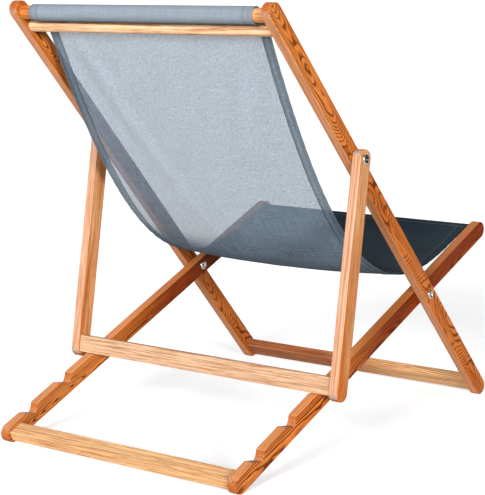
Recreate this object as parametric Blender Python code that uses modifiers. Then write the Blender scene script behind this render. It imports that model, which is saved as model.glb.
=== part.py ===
"""Folding wooden deck chair with a fabric sling.

Metres, +Z up, ground at z = 0. The chair faces -Y and is symmetric about x = 0, so
the sitter's left is +X. Three wooden frames: the back frame, the seat frame that
crosses it on a scissor pivot, and the prop frame whose crossbar drops into notches
cut in the seat rails. Every shape is drawn in the side view and given a width in x.
"""
import math

import bmesh
import bpy

# Shared timber sizes
RAIL_WIDTH = 0.031
RAIL_THICKNESS = 0.0175
RAIL_GAP = 0.0019            # daylight between neighbouring rails, filled by a washer
HALF_WIDTH = 0.300           # centre line to the outer face of a prop leg
FIT = 0.0003                 # clearance between solids that touch
RUNNING_FIT = 0.00008        # radial clearance of a pivot that turns
EDGE_EASE = 0.0012
ROUND_STEPS = 14             # segments in the half round end of a rail

# Back frame: distances run down the rail from its top end
BACK_LENGTH = 1.004
BACK_ANGLE = math.radians(49.12)     # from the ground
BACK_TO_HEAD = 0.0225
BACK_TO_CROSSBAR = 0.0530
BACK_TO_PROP = 0.3470
BACK_TO_SCISSOR = 0.7080
BACK_TO_STRETCHER = 0.9785

# Seat frame: distances run back along the rail from its front end
SEAT_LENGTH = 0.839
SEAT_TO_DOWEL = 0.0250
SEAT_TO_SCISSOR = 0.2445
SEAT_TO_STRETCHER = 0.8165

# Prop frame: distances run down the leg from its pivot
PROP_LEAN = math.radians(11.14)      # from the vertical, foot to the rear
PROP_ABOVE = 0.0168
PROP_BELOW = 0.4052
PROP_TO_BAR = 0.3805
PROP_BAR_OFFSET = -0.0040            # the bar's centre sits behind the leg's centre

# Notches in the seat rails
NOTCH_COUNT = 3
NOTCH_PITCH = 0.0965
NOTCH_MOUTH = 0.0335
NOTCH_WALL_RUNOUT = 0.0020
NOTCH_LIP = 0.0020
NOTCH_LIP_BREAK = 0.0004
RELIEF_RADIUS = 0.0016               # round groove in each notch's inner corner
# Steps along the rail and up from it: the rounded front edge, then the foot of the riser
NOTCH_EDGE = ((-0.0022, 0.0), (0.0, -0.0007), (0.0014, -0.0024), (0.0040, -0.0064))
NOTCH_FOOT = ((-0.0052, 0.0016), (-0.0022, -0.0002))

# Dowels and joints
HEAD_RADIUS = 0.0120
CROSSBAR_RADIUS = 0.0110
SEAT_DOWEL_RADIUS = 0.0120
DOWEL_STEPS = 40
DOWEL_TENON_RADIUS = 0.0080
TENON_LENGTH = 0.0120
TENON_WIDTH = 0.0200
TENON_THICKNESS = 0.0090
SOCKET_DEPTH = 0.0126
OVERCUT = 0.002              # how far a cutter runs past the face it opens

# Pivot hardware
SHANK_RADIUS = 0.0030
BARREL_RADIUS = 0.0045
FLANGE_RADIUS = 0.0085
FLANGE_THICKNESS = 0.0014
DOME_RISE = 0.0006
RECESS_RADIUS = 0.0036
RECESS_DEPTH = 0.0011
RECESS_LIP = 0.0012
RECESS_DRAFT = 0.0004
RIM_BREAK = 0.0008
WASHER_RADIUS = 0.0090
COUNTERBORE_DEPTH = 0.0026
THREAD_OVERLAP = 0.0110
PIVOT_STEPS = 32

# Fabric
SLING_HALF_WIDTH = 0.240
SLING_THICKNESS = 0.0012
SLEEVE_RADIUS = 0.0148       # outside of the sleeves round the head and seat dowels
SLING_STEPS = 56
SLING_BACK_ANGLE = math.radians(67.0)    # slope of the cloth below the upper crossbar
SLING_BACK_RUNS = (0.234, 0.218)         # guide lengths down the backrest
SLING_BACK_TURN = math.radians(-4.7)
SLING_SEAT_ANGLE = math.radians(24.1)    # slope of the cloth where it meets the seat dowel
SLING_SEAT_RUNS = (0.193, 0.125)         # guide lengths back along the seat
SLING_SEAT_TURN = math.radians(10.9)

# Rail planes, measured from the centre line of the chair
PROP_IN = HALF_WIDTH - RAIL_THICKNESS
BACK_OUT = PROP_IN - RAIL_GAP
BACK_IN = BACK_OUT - RAIL_THICKNESS
SEAT_OUT = BACK_IN - RAIL_GAP
SEAT_IN = SEAT_OUT - RAIL_THICKNESS

SIDES = (("left", 1.0), ("right", -1.0))


class SideLine:
    """A timber's centre line in the side view: along it, and off to one side."""

    def __init__(self, origin, direction, normal):
        self.origin = origin
        self.direction = direction
        self.normal = normal

    def at(self, along, off=0.0):
        y = self.origin[0] + self.direction[0] * along + self.normal[0] * off
        z = self.origin[1] + self.direction[1] * along + self.normal[1] * off
        return (y, z)

    def local(self, point):
        y = point[0] - self.origin[0]
        z = point[1] - self.origin[1]
        along = y * self.direction[0] + z * self.direction[1]
        off = y * self.normal[0] + z * self.normal[1]
        return (along, off)


def solve_side_view():
    """Place the three centre lines so both frames stand on the ground, box centred."""
    half = RAIL_WIDTH / 2
    lower = BACK_LENGTH - half - BACK_TO_SCISSOR
    rear = SEAT_LENGTH - half - SEAT_TO_SCISSOR
    front = SEAT_TO_SCISSOR - half
    rise = lower * math.sin(BACK_ANGLE)
    seat_angle = math.asin(rise / rear)
    scissor_y = (front - rear) * math.cos(seat_angle) / 2
    scissor = (scissor_y, half + rise)
    down = (-math.cos(BACK_ANGLE), -math.sin(BACK_ANGLE))
    top = (scissor[0] - down[0] * BACK_TO_SCISSOR, scissor[1] - down[1] * BACK_TO_SCISSOR)
    back = SideLine(top, down, (-math.sin(BACK_ANGLE), math.cos(BACK_ANGLE)))
    rearward = (math.cos(seat_angle), -math.sin(seat_angle))
    nose = (scissor[0] - rearward[0] * SEAT_TO_SCISSOR, scissor[1] - rearward[1] * SEAT_TO_SCISSOR)
    seat = SideLine(nose, rearward, (math.sin(seat_angle), math.cos(seat_angle)))
    drop = (math.sin(PROP_LEAN), -math.cos(PROP_LEAN))
    prop = SideLine(back.at(BACK_TO_PROP), drop, (-math.cos(PROP_LEAN), -math.sin(PROP_LEAN)))
    return back, seat, prop, scissor


BACK, SEAT, PROP, SCISSOR = solve_side_view()
PROP_PIVOT = PROP.origin
STATIC = (0.0, 0.0)


def clear_scene():
    for item in list(bpy.data.objects):
        bpy.data.objects.remove(item, do_unlink=True)
    for group in list(bpy.data.collections):
        bpy.data.collections.remove(group)


def new_collection(name):
    group = bpy.data.collections.new(name)
    bpy.context.scene.collection.children.link(group)
    return group


def make_material(name, colour, roughness, metallic=0.0):
    material = bpy.data.materials.new(name)
    material.use_nodes = True
    shader = material.node_tree.nodes["Principled BSDF"]
    shader.inputs["Base Color"].default_value = (*colour, 1.0)
    shader.inputs["Roughness"].default_value = roughness
    shader.inputs["Metallic"].default_value = metallic
    material.diffuse_color = (*colour, 1.0)
    return material


WOOD = (0.42, 0.18, 0.065)
STEEL = (0.62, 0.62, 0.60)
CANVAS = (0.13, 0.17, 0.20)


def arc(centre, radius, start, stop, steps):
    """Points on an arc, both ends included, angles in degrees."""
    points = []
    for step in range(steps + 1):
        angle = math.radians(start + (stop - start) * step / steps)
        points.append((centre[0] + radius * math.cos(angle), centre[1] + radius * math.sin(angle)))
    return points


def new_object(group, name, mesh, pivot):
    item = bpy.data.objects.new(name, mesh)
    item.location = (0.0, pivot[0], pivot[1])
    group.objects.link(item)
    return item


def finish_mesh(shape, name):
    bmesh.ops.recalc_face_normals(shape, faces=shape.faces)
    mesh = bpy.data.meshes.new(name)
    shape.to_mesh(mesh)
    shape.free()
    return mesh


def slab(group, name, outline, x_from, x_to, pivot=STATIC):
    """A side view outline given a width in x."""
    shape = bmesh.new()
    ends = []
    for x in (x_from, x_to):
        ring = [shape.verts.new((x, y - pivot[0], z - pivot[1])) for y, z in outline]
        ends.append(ring)
    shape.faces.new(ends[0])
    shape.faces.new(list(reversed(ends[1])))
    count = len(outline)
    for index in range(count):
        after = (index + 1) % count
        shape.faces.new((ends[0][index], ends[0][after], ends[1][after], ends[1][index]))
    return new_object(group, name, finish_mesh(shape, name), pivot)


def turned(group, name, centre, profile, steps, pivot=STATIC):
    """A solid turned round an axis along x; the profile is (x, radius), ends on the axis."""
    shape = bmesh.new()
    y0 = centre[0] - pivot[0]
    z0 = centre[1] - pivot[1]
    rings = []
    for x, radius in profile:
        if radius == 0.0:
            rings.append([shape.verts.new((x, y0, z0))])
            continue
        ring = []
        for step in range(steps):
            angle = 2.0 * math.pi * (step + 0.5) / steps
            ring.append(shape.verts.new((x, y0 + radius * math.cos(angle), z0 + radius * math.sin(angle))))
        rings.append(ring)
    for first, second in zip(rings, rings[1:]):
        join_rings(shape, first, second, steps)
    if len(rings[0]) > 1:
        join_rings(shape, rings[-1], rings[0], steps)
    return new_object(group, name, finish_mesh(shape, name), pivot)


def join_rings(shape, first, second, steps):
    for step in range(steps):
        after = (step + 1) % steps
        if len(first) == 1:
            shape.faces.new((first[0], second[step], second[after]))
        elif len(second) == 1:
            shape.faces.new((first[step], first[after], second[0]))
        else:
            shape.faces.new((first[step], first[after], second[after], second[step]))


def ease_edges(item, width=EDGE_EASE, segments=2):
    bevel = item.modifiers.new("ease", 'BEVEL')
    bevel.width = width
    bevel.segments = segments
    bevel.limit_method = 'ANGLE'
    bevel.angle_limit = math.radians(50)
    bevel.use_clamp_overlap = False


def cut(item, cutter):
    boolean = item.modifiers.new("cut " + cutter.name, 'BOOLEAN')
    boolean.operation = 'DIFFERENCE'
    boolean.solver = 'EXACT'
    boolean.object = cutter


def fuse(item, extra):
    boolean = item.modifiers.new("fuse " + extra.name, 'BOOLEAN')
    boolean.operation = 'UNION'
    boolean.solver = 'EXACT'
    boolean.object = extra


def as_cutter(item):
    item.hide_render = True
    item.display_type = 'WIRE'
    return item


def bore(cutters, name, centre, x_from, x_to, radius, steps=PIVOT_STEPS):
    profile = ((x_from, 0.0), (x_from, radius), (x_to, radius), (x_to, 0.0))
    return as_cutter(turned(cutters, name, centre, profile, steps))


def rail_outline(line, length, start=0.0, top=None):
    """A straight rail with half round ends; top may hold extra points on its upper edge."""
    half = RAIL_WIDTH / 2
    points = arc((start + half, 0.0), half, 270.0, 90.0, ROUND_STEPS)
    points += top or []
    points += arc((start + length - half, 0.0), half, 90.0, -90.0, ROUND_STEPS)
    return [line.at(along, off) for along, off in points]


def box_outline(line, along, off, width, thickness):
    half_w = width / 2
    half_t = thickness / 2
    corners = ((-half_w, -half_t), (half_w, -half_t), (half_w, half_t), (-half_w, half_t))
    return [line.at(along + a, off + b) for a, b in corners]


def notch_corner():
    """Inner corner of the first notch, under the bar's lower face, and the slope of its wall."""
    bar_low = PROP_TO_BAR + RAIL_WIDTH / 2 + FIT
    front = SEAT.local(PROP.at(bar_low, PROP_BAR_OFFSET + RAIL_THICKNESS / 2))
    rear = SEAT.local(PROP.at(bar_low, PROP_BAR_OFFSET - RAIL_THICKNESS / 2))
    slope = (rear[1] - front[1]) / (rear[0] - front[0])
    return (front[0] - NOTCH_WALL_RUNOUT, front[1] - NOTCH_WALL_RUNOUT * slope), slope


def notch_points():
    """Upper edge of a seat rail, front to rear."""
    half = RAIL_WIDTH / 2
    low, slope = notch_corner()
    lip = low[0] + (half - low[1]) / slope
    shape = [(lip - NOTCH_MOUTH + step, half + up) for step, up in NOTCH_EDGE]
    shape += [(low[0] + step, low[1] + up) for step, up in NOTCH_FOOT]
    shape += [low, (lip - NOTCH_LIP, half - NOTCH_LIP * slope)]
    shape += [(lip - NOTCH_LIP / 10, half - NOTCH_LIP_BREAK), (lip + NOTCH_LIP, half)]
    points = []
    for index in range(NOTCH_COUNT):
        points += [(along + index * NOTCH_PITCH, off) for along, off in shape]
    return points


def stub_box(cutters, name, line, along, off, x_from, x_to, grow=0.0):
    outline = box_outline(line, along, off, TENON_WIDTH + grow, TENON_THICKNESS + grow)
    return as_cutter(slab(cutters, name, outline, x_from, x_to))


def mortise(cutters, rail, tag, line, along, off, inner, side):
    x_from = side * (inner - OVERCUT)
    x_to = side * (inner + SOCKET_DEPTH)
    cut(rail, stub_box(cutters, "mortise " + tag, line, along, off, x_from, x_to, 2 * FIT))


def socket(cutters, rail, tag, centre, inner, side):
    x_from = side * (inner - OVERCUT)
    x_to = side * (inner + SOCKET_DEPTH)
    cut(rail, bore(cutters, "socket " + tag, centre, x_from, x_to, DOWEL_TENON_RADIUS + FIT))


def pivot_bore(cutters, rail, tag, centre, x_from, x_to, radius):
    cut(rail, bore(cutters, "bore " + tag, centre, x_from, x_to, radius))


def relief_grooves(cutters, rail, tag, x_from, x_to):
    corner = notch_corner()[0]
    for index in range(NOTCH_COUNT):
        centre = SEAT.at(corner[0] + index * NOTCH_PITCH - RELIEF_RADIUS / 2, corner[1])
        cut(rail, bore(cutters, "relief %s %d" % (tag, index + 1), centre, x_from, x_to, RELIEF_RADIUS))


def flat_bar(parts, cutters, name, line, along, off, inner, pivot=STATIC):
    """A cross member with a stub tenon at each end."""
    reach = inner - FIT
    outline = box_outline(line, along, off, RAIL_WIDTH, RAIL_THICKNESS)
    bar = slab(parts, name, outline, -reach, reach, pivot)
    ease_edges(bar)
    for tag, side in SIDES:
        x_from = side * (reach - TENON_LENGTH)
        x_to = side * (inner + TENON_LENGTH)
        fuse(bar, stub_box(cutters, "tenon " + name + " " + tag, line, along, off, x_from, x_to))
    return bar


def round_bar(parts, name, centre, radius, inner, pivot=STATIC):
    reach = inner - FIT
    tip = inner + TENON_LENGTH
    profile = (
        (-tip, 0.0), (-tip, DOWEL_TENON_RADIUS), (-reach, DOWEL_TENON_RADIUS), (-reach, radius),
        (reach, radius), (reach, DOWEL_TENON_RADIUS), (tip, DOWEL_TENON_RADIUS), (tip, 0.0),
    )
    return turned(parts, name, centre, profile, DOWEL_STEPS, pivot)


def flange(face, side):
    """Domed flange with a round recess, from its rim at the seat plane out to the axis."""
    crown = face + side * (FLANGE_THICKNESS + DOME_RISE)
    floor = crown - side * RECESS_DEPTH
    return (
        (face, FLANGE_RADIUS),
        (face + side * FLANGE_THICKNESS / 2, FLANGE_RADIUS),
        (face + side * FLANGE_THICKNESS, FLANGE_RADIUS - RIM_BREAK),
        (crown, RECESS_RADIUS + RECESS_LIP),
        (crown, RECESS_RADIUS),
        (floor, RECESS_RADIUS - RECESS_DRAFT),
        (floor, 0.0),
    )


def bolt(parts, name, centre, face, tip, side, pivot=STATIC):
    """Bolt whose head seats on a face at x = face and whose shank ends at x = tip."""
    profile = ((side * tip, 0.0), (side * tip, SHANK_RADIUS), (side * face, SHANK_RADIUS))
    return turned(parts, name, centre, profile + flange(side * face, side), PIVOT_STEPS, pivot)


def barrel_nut(parts, name, centre, face, tip, side, pivot=STATIC):
    """Flanged barrel nut seated on an inner face, bored to take the bolt's shank."""
    hole = SHANK_RADIUS + FIT
    bottom = side * (face + FLANGE_THICKNESS)
    profile = ((bottom, 0.0), (bottom, hole), (side * tip, hole), (side * tip, BARREL_RADIUS),
               (side * face, BARREL_RADIUS))
    return turned(parts, name, centre, profile + flange(side * face, -side), PIVOT_STEPS, pivot)


def washer(parts, name, centre, x_from, x_to, side):
    inner = SHANK_RADIUS + FIT
    profile = ((side * x_from, inner), (side * x_from, WASHER_RADIUS),
               (side * x_to, WASHER_RADIUS), (side * x_to, inner))
    return turned(parts, name, centre, profile, PIVOT_STEPS)


def back_frame(parts, cutters):
    made = []
    head = BACK.at(BACK_TO_HEAD)
    crossbar = BACK.at(BACK_TO_CROSSBAR)
    for tag, side in SIDES:
        x_in = side * BACK_IN
        rail = slab(parts, "back_rail_" + tag, rail_outline(BACK, BACK_LENGTH), x_in, side * BACK_OUT)
        ease_edges(rail)
        socket(cutters, rail, "head " + tag, head, BACK_IN, side)
        socket(cutters, rail, "crossbar " + tag, crossbar, BACK_IN, side)
        mortise(cutters, rail, "front stretcher " + tag, BACK, BACK_TO_STRETCHER, 0.0, BACK_IN, side)
        below = x_in - side * OVERCUT
        out = side * (BACK_OUT + OVERCUT)
        pivot_bore(cutters, rail, "back scissor " + tag, SCISSOR, below, out, SHANK_RADIUS + FIT)
        pivot_bore(cutters, rail, "back prop " + tag, PROP_PIVOT, below, out, BARREL_RADIUS + FIT)
        sink = side * (BACK_IN + COUNTERBORE_DEPTH)
        pivot_bore(cutters, rail, "back sink " + tag, PROP_PIVOT, below, sink, FLANGE_RADIUS + FIT)
        made.append(rail)
    made.append(round_bar(parts, "head_dowel", head, HEAD_RADIUS, BACK_IN))
    made.append(round_bar(parts, "upper_crossbar", crossbar, CROSSBAR_RADIUS, BACK_IN))
    made.append(flat_bar(parts, cutters, "front_stretcher", BACK, BACK_TO_STRETCHER, 0.0, BACK_IN))
    return made


def seat_frame(parts, cutters):
    made = []
    dowel = SEAT.at(SEAT_TO_DOWEL)
    for tag, side in SIDES:
        outline = rail_outline(SEAT, SEAT_LENGTH, 0.0, notch_points())
        x_in = side * SEAT_IN
        rail = slab(parts, "seat_rail_" + tag, outline, x_in, side * SEAT_OUT, SCISSOR)
        ease_edges(rail, EDGE_EASE * 0.6)
        socket(cutters, rail, "seat dowel " + tag, dowel, SEAT_IN, side)
        mortise(cutters, rail, "rear stretcher " + tag, SEAT, SEAT_TO_STRETCHER, 0.0, SEAT_IN, side)
        out = side * (SEAT_OUT + OVERCUT)
        turning = BARREL_RADIUS + RUNNING_FIT
        pivot_bore(cutters, rail, "seat scissor " + tag, SCISSOR, x_in - side * OVERCUT, out, turning)
        relief_grooves(cutters, rail, tag, x_in - side * OVERCUT, out)
        made.append(rail)
    made.append(round_bar(parts, "seat_dowel", dowel, SEAT_DOWEL_RADIUS, SEAT_IN, SCISSOR))
    made.append(flat_bar(parts, cutters, "rear_stretcher", SEAT, SEAT_TO_STRETCHER, 0.0, SEAT_IN, SCISSOR))
    return made


def prop_frame(parts, cutters):
    made = []
    length = PROP_ABOVE + PROP_BELOW
    for tag, side in SIDES:
        outline = rail_outline(PROP, length, -PROP_ABOVE)
        x_in = side * PROP_IN
        leg = slab(parts, "prop_leg_" + tag, outline, x_in, side * HALF_WIDTH, PROP_PIVOT)
        ease_edges(leg)
        mortise(cutters, leg, "prop crossbar " + tag, PROP, PROP_TO_BAR, PROP_BAR_OFFSET, PROP_IN, side)
        out = side * (HALF_WIDTH + OVERCUT)
        turning = SHANK_RADIUS + RUNNING_FIT
        pivot_bore(cutters, leg, "prop pivot " + tag, PROP_PIVOT, x_in - side * OVERCUT, out, turning)
        made.append(leg)
    made.append(flat_bar(parts, cutters, "prop_crossbar", PROP, PROP_TO_BAR, PROP_BAR_OFFSET, PROP_IN,
                         PROP_PIVOT))
    return made


def hardware(parts):
    made = []
    for tag, side in SIDES:
        tip = SEAT_IN + THREAD_OVERLAP * 0.5
        made.append(bolt(parts, "scissor_bolt_" + tag, SCISSOR, BACK_OUT + FIT, tip, side))
        made.append(washer(parts, "scissor_washer_" + tag, SCISSOR, SEAT_OUT + FIT, BACK_IN - FIT, side))
        end = SEAT_IN + THREAD_OVERLAP
        made.append(barrel_nut(parts, "scissor_nut_" + tag, SCISSOR, SEAT_IN - FIT, end, side))
        seated = BACK_IN + COUNTERBORE_DEPTH - FIT
        tip = seated + THREAD_OVERLAP * 0.3
        made.append(bolt(parts, "prop_bolt_" + tag, PROP_PIVOT, HALF_WIDTH + FIT, tip, side))
        made.append(washer(parts, "prop_washer_" + tag, PROP_PIVOT, BACK_OUT + FIT, PROP_IN - FIT, side))
        end = seated + THREAD_OVERLAP
        made.append(barrel_nut(parts, "prop_nut_" + tag, PROP_PIVOT, seated, end, side))
    return made


def offset_point(point, angle, distance):
    """The point that far from another, in the side view, at an angle from +Y."""
    return (point[0] + distance * math.cos(angle), point[1] + distance * math.sin(angle))


def bezier(points, steps):
    """Points on a Bezier curve of any degree, both ends included."""
    result = []
    for step in range(steps + 1):
        t = step / steps
        rows = list(points)
        while len(rows) > 1:
            rows = [((1 - t) * a[0] + t * b[0], (1 - t) * a[1] + t * b[1]) for a, b in zip(rows, rows[1:])]
        result.append(rows[0])
    return result


def sling_centre_line():
    """Middle of the cloth from the head sleeve, over the crossbar, to the seat sleeve."""
    head = BACK.at(BACK_TO_HEAD)
    bar = BACK.at(BACK_TO_CROSSBAR)
    dowel = SEAT.at(SEAT_TO_DOWEL)
    wrap = SLEEVE_RADIUS - SLING_THICKNESS / 2
    touch = CROSSBAR_RADIUS + FIT + SLING_THICKNESS / 2
    run = math.hypot(bar[0] - head[0], bar[1] - head[1])
    lean = math.atan2(head[1] - bar[1], head[0] - bar[0])
    first = lean - math.asin((wrap - touch) / run)
    quarter = math.pi / 2
    start = offset_point(head, first + quarter, wrap)
    bend = SLING_BACK_ANGLE - first
    over = [offset_point(bar, first + quarter + bend * k / 4, touch) for k in range(5)]
    forward = math.pi - SLING_SEAT_ANGLE
    finish = offset_point(dowel, forward - quarter, wrap)
    down = SLING_BACK_ANGLE + math.pi
    back = forward + math.pi
    guide_1 = offset_point(over[-1], down, SLING_BACK_RUNS[0])
    guide_2 = offset_point(guide_1, down + SLING_BACK_TURN, SLING_BACK_RUNS[1])
    guide_4 = offset_point(finish, back, SLING_SEAT_RUNS[0])
    guide_3 = offset_point(guide_4, back + SLING_SEAT_TURN, SLING_SEAT_RUNS[1])
    curve = bezier((over[-1], guide_1, guide_2, guide_3, guide_4, finish), SLING_STEPS)
    return [start] + over[:-1] + curve, head, dowel


def shift_sideways(points, distance):
    """The same curve moved along its left hand normal."""
    moved = []
    for index, point in enumerate(points):
        before = points[max(index - 1, 0)]
        after = points[min(index + 1, len(points) - 1)]
        length = math.hypot(after[0] - before[0], after[1] - before[1])
        ny = -(after[1] - before[1]) / length
        nz = (after[0] - before[0]) / length
        moved.append((point[0] + ny * distance, point[1] + nz * distance))
    return moved


def sleeve_arc(centre, start, stop_at, direction):
    """Round the outside of a sleeve from one point to just short of another."""
    a0 = math.degrees(math.atan2(start[1] - centre[1], start[0] - centre[0]))
    a1 = math.degrees(math.atan2(stop_at[1] - centre[1], stop_at[0] - centre[0]))
    sweep = (a1 - a0) % 360.0 if direction > 0 else -((a0 - a1) % 360.0)
    return arc(centre, SLEEVE_RADIUS, a0, a0 + sweep, 36)[1:]


def sling(parts, cutters):
    line, head, dowel = sling_centre_line()
    half = SLING_THICKNESS / 2
    upper = shift_sideways(line, -half)
    lower = shift_sideways(line, half)
    inner_run = math.acos((SLEEVE_RADIUS - SLING_THICKNESS) / SLEEVE_RADIUS)
    shift = SLEEVE_RADIUS * math.sin(inner_run)
    lower[0] = slide(lower[0], lower[1], shift)
    lower[-1] = slide(lower[-1], lower[-2], shift)
    outline = upper + sleeve_arc(dowel, upper[-1], lower[-1], 1.0)
    outline += list(reversed(lower))[1:]
    outline += sleeve_arc(head, lower[0], upper[0], 1.0)[:-1]
    cloth = slab(parts, "sling", outline, -SLING_HALF_WIDTH, SLING_HALF_WIDTH)
    reach = SLING_HALF_WIDTH + OVERCUT
    hollow = SLEEVE_RADIUS - SLING_THICKNESS
    cut(cloth, bore(cutters, "sleeve head", head, -reach, reach, hollow, 36))
    cut(cloth, bore(cutters, "sleeve seat", dowel, -reach, reach, hollow, 36))
    return cloth


def slide(point, toward, distance):
    length = math.hypot(toward[0] - point[0], toward[1] - point[1])
    share = distance / length
    return (point[0] + (toward[0] - point[0]) * share, point[1] + (toward[1] - point[1]) * share)


def give_material(item, label, colour, roughness, metallic=0.0):
    item.data.materials.append(make_material(item.name + " " + label, colour, roughness, metallic))


def build():
    clear_scene()
    parts = new_collection("folding_deck_chair")
    cutters = new_collection("cutters")
    for frame in (back_frame, seat_frame, prop_frame):
        for item in frame(parts, cutters):
            give_material(item, "oiled ash", WOOD, 0.5)
    for item in hardware(parts):
        give_material(item, "steel", STEEL, 0.3, 1.0)
    give_material(sling(parts, cutters), "canvas", CANVAS, 0.9)


build()
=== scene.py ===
"""Folding deck chair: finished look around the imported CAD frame.

Metres, +Z up, the chair faces -Y. The wooden pieces keep their CAD shape and get an
oiled ash material; the sling, its stitching and the pivot hardware are made here.
"""
import math
from typing import NamedTuple

import bmesh
import bpy
from mathutils import Matrix, Vector


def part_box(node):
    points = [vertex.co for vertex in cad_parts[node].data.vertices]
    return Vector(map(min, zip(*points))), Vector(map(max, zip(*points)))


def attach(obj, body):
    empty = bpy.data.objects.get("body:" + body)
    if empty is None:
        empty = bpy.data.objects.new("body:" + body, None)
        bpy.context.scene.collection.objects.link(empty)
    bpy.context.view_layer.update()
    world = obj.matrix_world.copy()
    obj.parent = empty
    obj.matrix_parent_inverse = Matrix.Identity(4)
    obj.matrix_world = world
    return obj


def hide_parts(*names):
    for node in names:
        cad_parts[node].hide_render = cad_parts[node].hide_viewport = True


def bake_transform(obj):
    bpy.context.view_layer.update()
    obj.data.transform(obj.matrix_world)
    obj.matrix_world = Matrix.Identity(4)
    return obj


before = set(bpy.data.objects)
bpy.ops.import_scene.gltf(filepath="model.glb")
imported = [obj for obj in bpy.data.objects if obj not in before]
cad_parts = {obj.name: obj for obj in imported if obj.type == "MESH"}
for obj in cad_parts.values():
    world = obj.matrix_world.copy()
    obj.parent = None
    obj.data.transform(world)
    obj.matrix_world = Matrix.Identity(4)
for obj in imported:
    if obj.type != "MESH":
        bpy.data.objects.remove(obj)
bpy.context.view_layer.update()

# The frame's side view, as it was designed: angles and distances along each timber
HALF_RAIL = 0.0155           # half of a timber's width
HALF_DEPTH = 0.00875         # half of its thickness
BACK_ANGLE = math.radians(49.12)
BACK_LENGTH = 1.004
BACK_TO_HEAD = 0.0225
BACK_TO_CROSSBAR = 0.0530
BACK_TO_PROP = 0.3470
BACK_TO_SCISSOR = 0.7080
BACK_TO_STRETCHER = 0.9785
SEAT_LENGTH = 0.839
SEAT_TO_DOWEL = 0.0250
SEAT_TO_SCISSOR = 0.2445
SEAT_TO_STRETCHER = 0.8165
PROP_LEAN = math.radians(11.14)
PROP_TO_BAR = 0.3805

# Sling
CLOTH = 0.00055              # one layer
LAYER_GAP = 0.00012
HALF_WIDTH = 0.2395
HEM = 0.0195
SLEEVE = 0.0142              # middle of the cloth round a dowel
CROSSBAR_TOUCH = 0.0117      # middle of the cloth over the upper crossbar
BACK_SLOPE = math.radians(67.0)    # of the cloth as it leaves the crossbar
BACK_RUNS = (0.234, 0.218)   # lengths of the two lines that guide the curve down the back
BACK_TURN = math.radians(-4.7)     # from the first of them to the second
SEAT_SLOPE = math.radians(24.1)    # of the cloth as it meets the seat dowel
SEAT_RUNS = (0.193, 0.125)   # the same along the seat, from the dowel backwards
SEAT_TURN = math.radians(10.9)
ROW_STEP = 0.0052
COLUMNS = 72
HUNG_STEPS = 240             # of the curve that the rows are spaced along
SLEEVE_STEPS = 44
SEAM_TAILS = (0.0030, 0.0085)  # cloth sewn to itself past the head sleeve and the seat sleeve
STITCH_PITCH = 0.0042
STITCH_LENGTH = 0.0030
STITCH_RADIUS = 0.00034
STITCH_INSET = 0.0028        # from a hem's inner edge
STITCH_MARGIN = 0.004        # left free at the end of a row
SEAM_FROM_HEAD = 0.0030      # from the open cloth's ends to the rows over the sleeves' seams
SEAM_FROM_SEAT = 0.0055

# Soft shape of the sling: side, reach down the back, size and phase of each corner's folds
CORNER_FOLDS = ((1, 0.30, 0.0036, 0.0), (-1, 0.24, 0.0030, 0.9))
FOLD_PITCH = 0.0125
FOLD_BAND = 0.040
FOLD_CORNER = 0.205          # where the folds start, from the middle
FOLD_LEAN = 0.34             # how fast they run inwards
FOLD_DEEPEST = 0.10          # distance down the open cloth
CALM_HEAD = (0.040, 0.130)   # the cloth comes off its path between these, from its top end
CALM_SEAT = (0.09, 0.02)     # and goes back to it between these, before its other end
BROAD_WAVE = (0.0009, 0.052, 0.19)   # size, then metres to a radian across and down
FINE_WAVE = (0.0006, 0.021, 0.16)
FINE_REACH = 0.22            # how far down the fine wave lasts
HEM_RIPPLE = (0.00030, 0.0042, 0.031)  # size, then metres to a radian of it and of its unevenness
SAG = 0.0150                 # at the middle of the width, across the bend
SAG_AT = 0.53                # distance down the open cloth
SAG_REACH = 0.15

# Pivot hardware
HEAD_RADIUS = 0.0085
HEAD_HEIGHT = 0.0020         # of the CAD bolts' and nuts' heads
SHANK_RADIUS = 0.003
BARREL_RADIUS = 0.0045
BARREL_BORE = 0.0033
BARREL_WALL = 0.0034         # from the nut's inner end to the bottom of its bore
LATHE_STEPS = 48
SHARP_ANGLE = math.radians(38)

# Camera
TARGET = Vector((0.0116, 0.0085, 0.3124))
VIEW_AZIMUTH = math.radians(217.73)
VIEW_ELEVATION = math.radians(10.42)
VIEW_ROLL = math.radians(-1.18)
VIEW_DISTANCE = 3.024
LENS = 121.16

# Light and floor
AMBIENT = 0.11               # what the backdrop gives as light
BACKDROP = 0.94              # how bright it looks
FLOOR_LIFT = 0.50            # how much paler the floor looks than the light on it makes it
FLOOR_RADIUS = 30.0
FLOOR_STEPS = 96
FLOOR_DROP = 0.0004          # just below the chair's feet
SHADE_DENSITY = 0.66         # of each side of the cloth, for the light that it holds back
SUNS = (                     # name, direction to it, strength, width in degrees, colour
    ("key", (-0.14, 0.88, 0.36), 4.6, 22.0, (1.0, 0.99, 0.975)),
    ("side", (-1.00, 0.52, 0.25), 3.8, 14.0, (1.0, 0.99, 0.98)),
    ("front", (0.75, -0.80, 0.45), 1.3, 60.0, (0.98, 0.99, 1.0)),
)


# ---------------------------------------------------------------- side view

def offset_point(point, angle, distance):
    return (point[0] + distance * math.cos(angle), point[1] + distance * math.sin(angle))


def solve_side_view():
    """The scissor pivot's place and the seat frame's angle, with both frames on the ground."""
    rise = (BACK_LENGTH - HALF_RAIL - BACK_TO_SCISSOR) * math.sin(BACK_ANGLE)
    rear = SEAT_LENGTH - HALF_RAIL - SEAT_TO_SCISSOR
    front = SEAT_TO_SCISSOR - HALF_RAIL
    seat_angle = math.asin(rise / rear)
    scissor = ((front - rear) * math.cos(seat_angle) / 2, HALF_RAIL + rise)
    return scissor, seat_angle


SCISSOR, SEAT_ANGLE = solve_side_view()


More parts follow.
